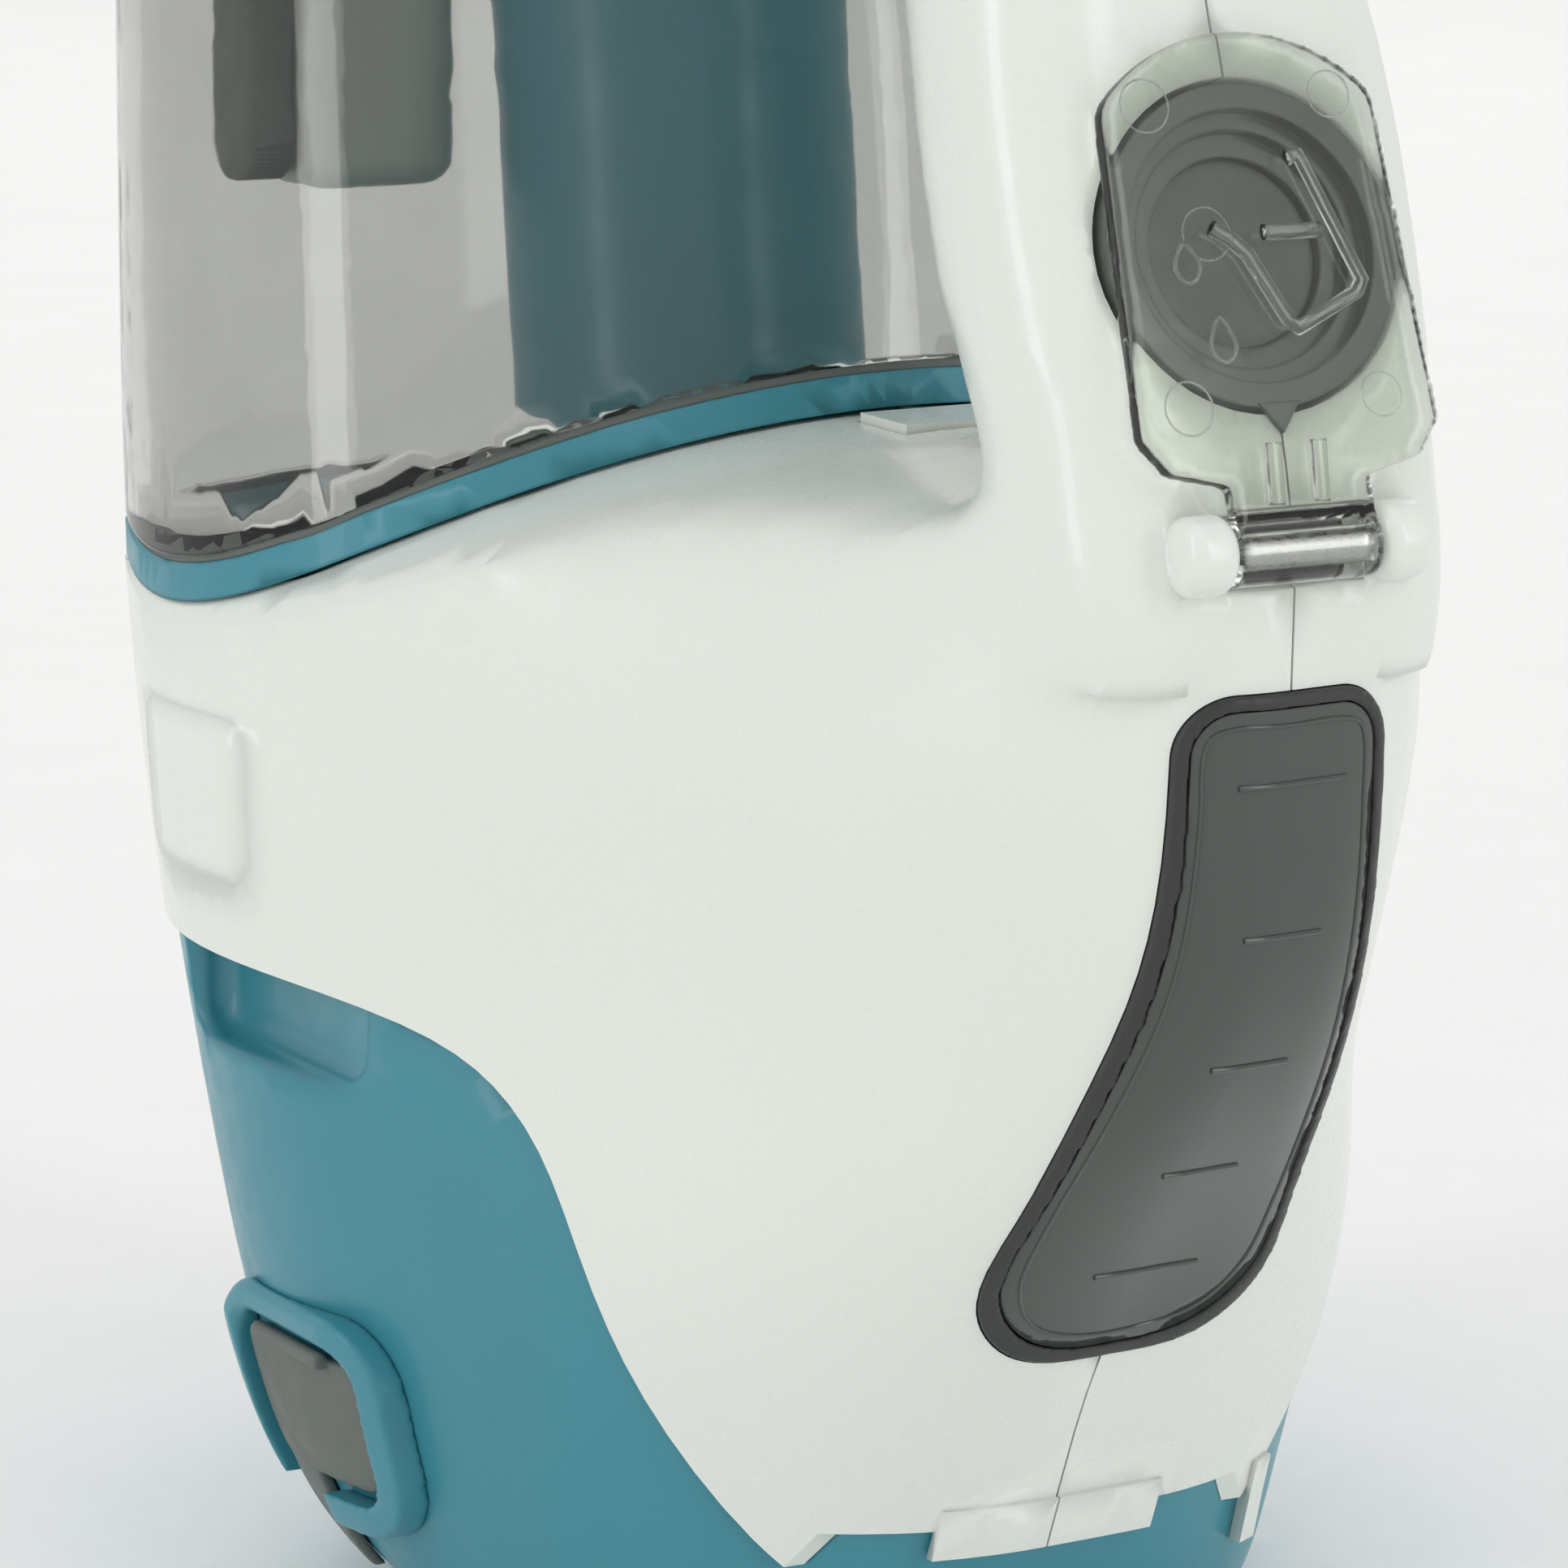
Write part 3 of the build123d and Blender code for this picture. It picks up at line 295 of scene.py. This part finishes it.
def blended_shoulder(node, passes=70):
    """Stands for a shell half whose shoulder runs smoothly into the handle."""
    piece = refined(node)
    work = bmesh.new()
    work.from_mesh(piece.data)
    for _ in range(SPLIT_ROUNDS):
        long_edges = [edge for edge in work.edges if edge.calc_length() > FINE_EDGE
                      and max(shoulder_share(end.co) for end in edge.verts) > 0]
        if not long_edges:
            break
        bmesh.ops.subdivide_edges(work, edges=long_edges, cuts=1)
        bmesh.ops.triangulate(work, faces=[face for face in work.faces if len(face.verts) > 3])
    soft = []
    for vert in work.verts:
        share = shoulder_share(vert.co)
        if share:
            soft.append((vert, share, [edge.other_vert(vert) for edge in vert.link_edges]))
    for _ in range(passes):
        moved = [vert.co.lerp(sum((near.co for near in around), Vector()) / len(around), 0.5 * share)
                 for vert, share, around in soft]
        for (vert, _, _), place in zip(soft, moved):
            vert.co = place
    for face in work.faces:
        face.smooth = True
    for edge in work.edges:
        if max(shoulder_share(end.co) for end in edge.verts) > 0.1:
            edge.smooth = True
    work.to_mesh(piece.data)
    work.free()


def surface(node):
    """Search tree of a CAD node's surface."""
    work = bmesh.new()
    work.from_mesh(nodes[node].data)
    tree = BVHTree.FromBMesh(work)
    work.free()
    return tree


def wire(name, points, radius, material_slot, body, closed=False):
    """Round bead along points, in metres."""
    curve = bpy.data.curves.new(name, "CURVE")
    curve.dimensions = "3D"
    curve.bevel_depth = radius
    curve.bevel_resolution = 3
    curve.use_fill_caps = True
    spline = curve.splines.new("POLY")
    spline.points.add(len(points) - 1)
    for target, point in zip(spline.points, points):
        target.co = (*point, 1.0)
    spline.use_cyclic_u = closed
    piece = bpy.data.objects.new(name, curve)
    scene.collection.objects.link(piece)
    evaluated = piece.evaluated_get(bpy.context.evaluated_depsgraph_get())
    mesh = bpy.data.meshes.new_from_object(evaluated)
    bpy.data.objects.remove(piece)
    mesh.shade_smooth()
    return added(name, mesh, material_slot, body)


for name in ("shell_left", "shell_right"):
    blended_shoulder(name)
for name in ("base_tub", "tank_rim", "tank_shell", "nozzle", "grip_strip", "level_window", "separator_box",
             "separator_flap", "nozzle_lip", "tank_gasket", "suction_divider"):
    refined(name)
for name in ("port_guard", "window_bezel", "flip_cover", "charge_port_cover", "spray_trigger",
             "power_button", "status_light"):
    softened(name)

# ---------------------------------------------------------------- level window
window = surface("level_window")


def on_window(across, height):
    """Point on the window's outer face, or None beside the window, from x and z in millimetres."""
    return window.ray_cast(Vector((across * MM, 0.2, height * MM)), Vector((0, -1, 0)))[0]


LEVEL_MARKS = [(95.6, 5.7), (81.5, 4.1), (68.6, 4.1), (57.1, 4.1), (45.7, 5.7)]      # height, half length
MARK_CENTRE = -0.5
MARK_STEPS = 6                            # steps in half a mark
for i, (height, half) in enumerate(LEVEL_MARKS):
    places = [on_window(MARK_CENTRE - half + step * half / MARK_STEPS, height)
              for step in range(2 * MARK_STEPS + 1)]
    wire(f"level_mark_{i + 1}", [place for place in places if place], 0.3 * MM, "tank_smoked", "body")

# Bead just inside the window's edge: its right side in (x, z) millimetres, from the middle of the top.
WINDOW_EDGE = [(0, 100.9), (6.2, 100.9), (8.3, 99), (8.5, 92), (9.1, 78), (10.7, 64), (12.1, 52),
               (12.0, 44.8), (8.2, 40.0), (0, 38.6)]
edge_line = WINDOW_EDGE + [(-x, z) for x, z in reversed(WINDOW_EDGE[1:-1])]


def rounded_loop(corners, steps=6):
    """Closed smooth line through corners, as points."""
    count = len(corners)
    loop = []
    for i in range(count):
        before, first, second, after = (Vector(corners[(i + k) % count]) for k in (-1, 0, 1, 2))
        for step in range(steps):
            t = step / steps
            loop.append(0.5 * (2 * first + (second - before) * t
                               + (2 * before - 5 * first + 4 * second - after) * t ** 2
                               + (3 * first - before - 3 * second + after) * t ** 3))
    return loop


bead = [on_window(x, z) for x, z in rounded_loop(edge_line)]
wire("window_bead", [place for place in bead if place], 0.22 * MM, "tank_smoked", "body", closed=True)

# ---------------------------------------------------------------- filler cap and its clear cover
PORT = Vector((0, 86.0, 142.0)) * MM
PORT_LEAN = math.radians(19.5)
PORT_OUT = Vector((0, math.cos(PORT_LEAN), math.sin(PORT_LEAN)))
PORT_UP = Vector((0, -math.sin(PORT_LEAN), math.cos(PORT_LEAN)))


def on_port(across, up, out):
    """Point near the filler port: millimetres across towards -X, up its slope and out of it."""
    return PORT + (Vector((-1, 0, 0)) * across + PORT_UP * up + PORT_OUT * out) * MM


def port_plate(name, outline, low, high, material_slot, body):
    """Flat plate on the port's slope, from its outline (across, up) between two heights."""
    corners = [on_port(a, b, low) for a, b in outline] + [on_port(a, b, high) for a, b in outline]
    count = len(outline)
    faces = [tuple(range(count)), tuple(range(2 * count - 1, count - 1, -1))]
    faces += [(i, i + count, (i + 1) % count + count, (i + 1) % count) for i in range(count)]
    mesh = bpy.data.meshes.new(name)
    mesh.from_pydata(corners, [], faces)
    work = bmesh.new()
    work.from_mesh(mesh)
    bmesh.ops.recalc_face_normals(work, faces=work.faces)
    work.to_mesh(mesh)
    work.free()
    return added(name, mesh, material_slot, body)


CAP_FLOOR = -3.4
CAP_DISC_R = 8.45


def circle(across, up, radius, step):
    """Corners of a circle on the port's slope, one every step degrees."""
    return [(across + radius * math.cos(math.radians(a)), up + radius * math.sin(math.radians(a)))
            for a in range(0, 360, step)]


port_plate("cap_disc", circle(0, 0, CAP_DISC_R, 6), CAP_FLOOR, CAP_FLOOR + 0.25, "grey_rubber", "cap")
port_plate("cap_pointer", [(-2.1, -14.1), (2.1, -14.1), (0, -16.9)], 0.5, 1.0, "cap_smoked", "cap")

COVER_FACE = 3.3                          # height of the cover's outer face above the port's slope


def cover_bead(name, outline, radius, closed=False):
    """Bead on the cover's outer face along (across, up) places, in millimetres."""
    places = [on_port(across, up, COVER_FACE) for across, up in outline]
    wire(name, places, radius * MM, "cover_clear", "cover", closed)


JUG = [(3.9, 7.2), (5.0, 7.4), (9.4, -4.1), (8.7, -5.2), (2.3, -8.0), (1.3, -7.2), (-1.7, -1.2),
       (-3.3, 0.4), (-5.0, 1.4)]
SIGN_R = 0.75
cover_bead("cover_jug", JUG, SIGN_R)
cover_bead("cover_level", [(0.2, 0.7), (6.0, 0.6)], SIGN_R)
DROPS = [(-7.9, 0.2, -3.4), (-5.6, -6.5, -10.6)]                                  # across, top, bottom
for i, (across, top, bottom) in enumerate(DROPS):
    drop = [(across, top), (across + 1.2, bottom + 1.9), (across + 1.0, bottom + 0.7), (across, bottom),
            (across - 1.0, bottom + 0.7), (across - 1.2, bottom + 1.9)]
    cover_bead(f"cover_drop_{i + 1}", rounded_loop(drop, 4), 0.2, closed=True)
# Round marks that the moulding pins left: across, up, radius.
PIN_MARKS = [(-9.6, 12.6, 2.4), (9.2, 12.7, 2.1), (-10.1, -14.4, 2.4), (9.5, -14.4, 2.0), (-5.5, 0.9, 2.4)]
for i, (across, up, radius) in enumerate(PIN_MARKS):
    cover_bead(f"cover_ring_{i + 1}", circle(across, up, radius, 15), 0.1, closed=True)
COVER_RIBS = [(-2.3, -2.8), (2.3, 1.8)]                                           # across at the top and foot
for i, (top, foot) in enumerate(COVER_RIBS):
    rib = [on_port(top, -18.0, COVER_FACE), on_port(foot, -23.4, COVER_FACE - 0.2)]
    wire(f"cover_rib_{i + 1}", rib, 0.8 * MM, "cover_clear", "cover")

# ---------------------------------------------------------------- brush filaments
BRUSH = Vector((0, -57.0, 338.6)) * MM
TUFT_ROWS, TUFTS_LONG = 4, 15
TUFT_START, TUFT_END = -39.5, 31.5
FILAMENTS = 20
FILAMENT_R = 0.17
FILAMENT_SIDES = 4
vertices, faces = [], []
for row in range(TUFT_ROWS):
    for i in range(TUFTS_LONG):
        centre = TUFT_START + i * (TUFT_END - TUFT_START) / (TUFTS_LONG - 1)
        turn = math.radians(90 * row + 6 * (i if i <= 7 else 14 - i))
        out = Vector((0, math.cos(turn), math.sin(turn)))
        round_axle = Vector((0, -math.sin(turn), math.cos(turn)))
        for _ in range(FILAMENTS):
            spot = random.uniform(0, math.tau)
            reach = 1.2 * math.sqrt(random.random())
            side = Vector((centre + reach * math.cos(spot), 0, 0)) * MM
            side += round_axle * (reach * math.sin(spot) * MM)
            splay = Vector((random.uniform(-0.6, 0.6), 0, 0)) + round_axle * random.uniform(-0.6, 0.6)
            root = BRUSH + side + out * (7.2 * MM)
            tip = BRUSH + side + out * (random.uniform(13.3, 13.8) * MM) + splay * (0.5 * MM)
            first = len(vertices)
            for end, size in ((root, FILAMENT_R), (tip, FILAMENT_R * 0.6)):
                for corner in range(FILAMENT_SIDES):
                    around = math.tau * corner / FILAMENT_SIDES
                    away = Vector((math.cos(around), 0, 0)) + round_axle * math.sin(around)
                    vertices.append(end + away * (size * MM))
            last = first + FILAMENT_SIDES
            faces.append(tuple(range(first, last)))
            faces.append(tuple(range(last + FILAMENT_SIDES - 1, last - 1, -1)))
            for k in range(FILAMENT_SIDES):
                after = (k + 1) % FILAMENT_SIDES
                faces.append((first + k, last + k, last + after, first + after))
filaments = bpy.data.meshes.new("brush_filaments")
filaments.from_pydata(vertices, [], faces)
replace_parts(added("brush_filaments", filaments, "bristle", "brush"), "brush_bristles")


# ---------------------------------------------------------------- driver recesses in the screws
RECESS_LONG = 3.0
RECESS_WIDE = 0.8
RECESS_DEEP = 1.2
SLOT_SIZES = {
    "X": (2 * RECESS_DEEP, RECESS_LONG, RECESS_WIDE),
    "Z": (RECESS_WIDE, RECESS_LONG, 2 * RECESS_DEEP),
}


def cross_recess(node, heads, axis):
    """Stands for a node of screws with a cross recess cut into each head, along an axis."""
    piece = added(node + "_cut", welded(node), node_slot[node], body_of(node))
    scale = Matrix.Diagonal((*(value * MM for value in SLOT_SIZES[axis]), 1.0))
    work = bmesh.new()
    for place in heads:
        for turn in (0, 90):
            spin = Matrix.Rotation(math.radians(turn), 4, axis)
            placed = Matrix.Translation(Vector(place) * MM) @ spin @ scale
            bmesh.ops.create_cube(work, size=1.0, matrix=placed)
    cutter_mesh = bpy.data.meshes.new(node + "_cutter")
    work.to_mesh(cutter_mesh)
    work.free()
    cutter = bpy.data.objects.new(node + "_cutter", cutter_mesh)
    scene.collection.objects.link(cutter)
    cut = piece.modifiers.new("cut", "BOOLEAN")
    cut.object = cutter
    cut.operation = "DIFFERENCE"
    cut.use_self = True
    applied(piece)
    bpy.data.objects.remove(cutter)
    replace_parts(piece, node)


SHELL_SCREWS = [(-46, 84), (34, 93), (64, 183), (-8, 282), (-37, 317)]           # y and z of each head
BASE_SCREWS = [(-28, -4), (28, -4), (0, 32)]                                     # x and y of each head
SHELL_HEAD_X = -15.2
BASE_HEAD_Z = 1.2
cross_recess("shell_screws", [(SHELL_HEAD_X, y, z) for y, z in SHELL_SCREWS], "X")
cross_recess("base_screws", [(x, y, BASE_HEAD_Z) for x, y in BASE_SCREWS], "Z")

# ---------------------------------------------------------------- camera, light and floor
VIEW_AZIMUTH = math.radians(152.0)
VIEW_ELEVATION = math.radians(11.2)
VIEW_DISTANCE = 0.8
VIEW_TARGET = Vector((0, 0, 0.079))
LENS_MM = 186.3

back = Vector((math.sin(VIEW_AZIMUTH) * math.cos(VIEW_ELEVATION),
               -math.cos(VIEW_AZIMUTH) * math.cos(VIEW_ELEVATION),
               math.sin(VIEW_ELEVATION)))
camera = bpy.data.objects.new("camera", bpy.data.cameras.new("camera"))
scene.collection.objects.link(camera)
camera.location = VIEW_TARGET + back * VIEW_DISTANCE
camera.rotation_mode = "QUATERNION"
camera.rotation_quaternion = (-back).to_track_quat("-Z", "Y")
camera.data.lens = LENS_MM
camera.data.sensor_width = 36.0
camera.data.clip_start = 0.01
scene.camera = camera


def softbox(name, azimuth, elevation, distance, size, power):
    """Large soft lamp aimed at the middle of the object."""
    lamp = bpy.data.lights.new(name, "AREA")
    lamp.shape = "RECTANGLE"
    lamp.size, lamp.size_y = size
    lamp.energy = power
    a, e = math.radians(azimuth), math.radians(elevation)
    away = Vector((math.sin(a) * math.cos(e), -math.cos(a) * math.cos(e), math.sin(e)))
    holder = bpy.data.objects.new(name, lamp)
    scene.collection.objects.link(holder)
    holder.location = Vector((0, 0, 0.15)) + away * distance
    holder.rotation_mode = "QUATERNION"
    holder.rotation_quaternion = (-away).to_track_quat("-Z", "Y")


softbox("left_strip", 95, 18, 1.5, (0.3, 1.5), 4.5)
softbox("right_strip", 205, 18, 1.5, (0.3, 1.5), 4.0)
softbox("front_softbox", 330, 30, 1.8, (1.2, 1.2), 4.0)
softbox("top_softbox", 150, 80, 1.8, (1.4, 1.4), 3.0)

world = bpy.data.worlds.new("studio")
world.use_nodes = True
world.node_tree.nodes["Background"].inputs["Color"].default_value = (1.0, 1.0, 1.0, 1.0)
world.node_tree.nodes["Background"].inputs["Strength"].default_value = 0.75
scene.world = world
scene.view_settings.view_transform = "Standard"

floor_mesh = bpy.data.meshes.new("floor")
FLOOR = 4.0
floor_mesh.from_pydata([(-FLOOR, -FLOOR, 0), (FLOOR, -FLOOR, 0), (FLOOR, FLOOR, 0), (-FLOOR, FLOOR, 0)],
                       [], [(0, 1, 2, 3)])
floor = bpy.data.objects.new("floor", floor_mesh)
scene.collection.objects.link(floor)
floor.data.materials.append(moulded("floor_paper", srgb(246, 246, 245), 0.7, 0.0, 0.02, 0.5, 0.0, 0.01))
